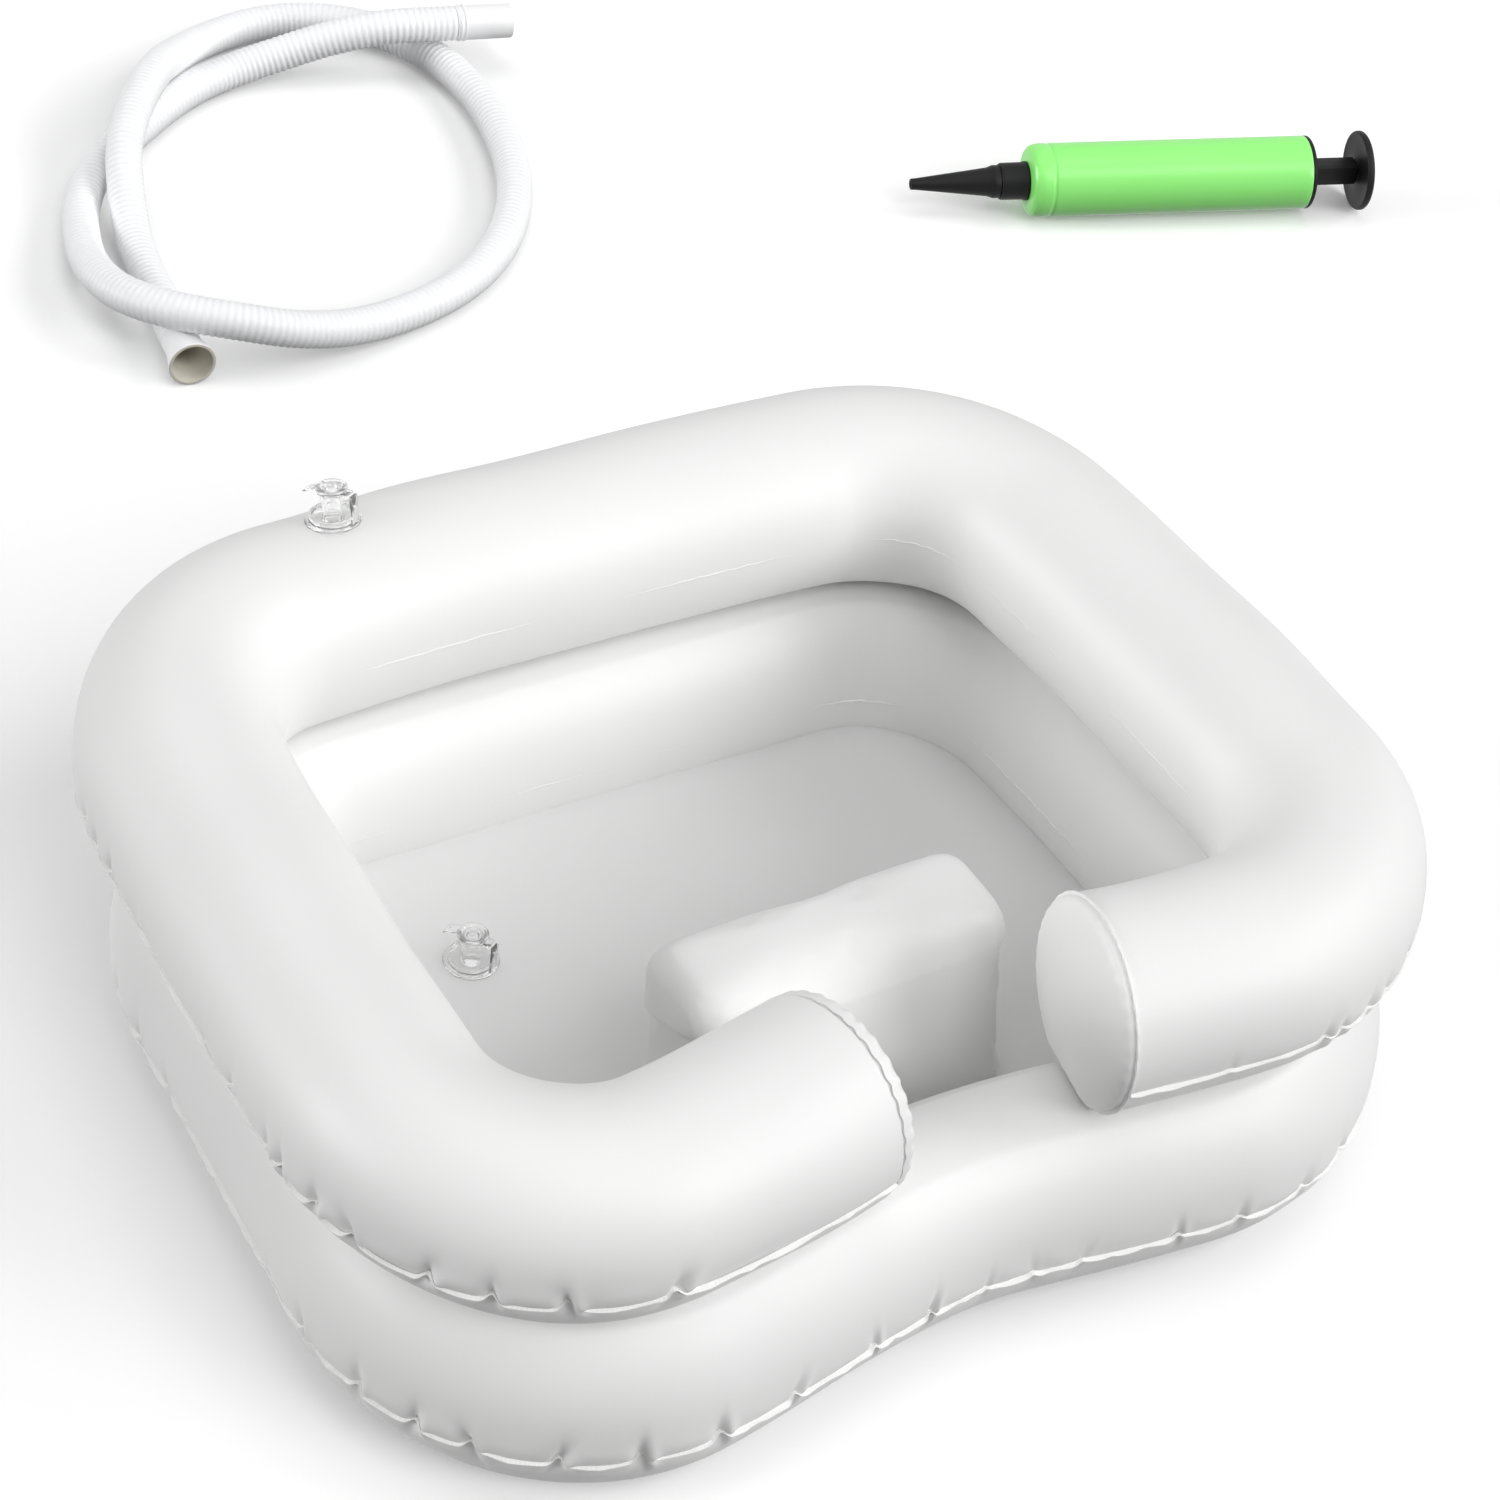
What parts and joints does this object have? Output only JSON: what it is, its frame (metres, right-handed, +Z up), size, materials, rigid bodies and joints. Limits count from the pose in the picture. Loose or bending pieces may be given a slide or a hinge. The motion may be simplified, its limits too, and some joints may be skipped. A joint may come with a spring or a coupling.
{
  "type": "portable shampoo basin",
  "caption": "Inflatable hair-washing basin with a neck gap, pillow and clear valves, its ribbed drain hose and a hand air pump",
  "frame": {"origin": "on the surface that the kit lies on, under the middle of the box round the basin and the pump", "axes": "+Z up; -Y towards the person lying down, so the neck gap is in the -Y side; +X to the right as seen from there"},
  "size_m": [1.1896, 1.3283, 0.2544],
  "materials": {
    "white_film": "satin",
    "clear_vinyl": "gloss",
    "hose_white": "satin",
    "cuff_cream": "satin",
    "pump_green": "gloss",
    "pump_black": "satin",
    "seal_black": "matte"
  },
  "bodies": {
    "basin": {"upper_ring": "white_film", "upper_outer_seam": "white_film", "upper_inner_seam": "white_film", "lower_ring": "white_film", "lower_outer_seam": "white_film", "lower_inner_seam": "white_film", "arm_end_right": "white_film", "arm_end_left": "white_film", "basin_floor": "white_film", "headrest": "white_film", "air_valve_body": "clear_vinyl", "air_valve_flap": "clear_vinyl", "drain_valve_body": "clear_vinyl", "drain_nipple": "clear_vinyl"},
    "air_stopper": {"air_valve_stopper": "clear_vinyl"},
    "drain_stopper": {"drain_valve_stopper": "clear_vinyl"},
    "hose": {"drain_hose": "hose_white", "hose_plain_cuff": "hose_white", "hose_flared_cuff": "cuff_cream"},
    "pump": {"pump_barrel": "pump_green", "pump_end_cap": "pump_black", "pump_nozzle": "pump_black", "pump_nozzle_collar": "pump_black", "pump_outlet_flap": "seal_black"},
    "pump_plunger": {"pump_piston": "pump_black", "pump_piston_seal": "seal_black", "pump_rod": "pump_black", "pump_handle": "pump_black"}
  },
  "joints": [
    {"name": "air_stopper_hinge", "type": "hinge", "parent": "basin", "child": "air_stopper", "pos_m": [-0.38459, 0.04899, 0.25308], "axis": [0.8609, 0.5005, -0.0915], "range_deg": [0, 120]},
    {"name": "drain_stopper_hinge", "type": "hinge", "parent": "basin", "child": "drain_stopper", "pos_m": [-0.37682, -0.12679, 0.06505], "axis": [0.8645, 0.5026, 0], "range_deg": [0, 120]},
    {"name": "hose_lift", "type": "slide", "parent": "basin", "child": "hose", "axis": [0, 0, 1], "range_m": [0, 0.3]},
    {"name": "pump_lift", "type": "slide", "parent": "basin", "child": "pump", "axis": [0, 0, 1], "range_m": [0, 0.3]},
    {"name": "pump_stroke", "type": "slide", "parent": "pump", "child": "pump_plunger", "axis": [0.9432, -0.3321, 0.0097], "range_m": [-0.025, 0.155]}
  ]
}
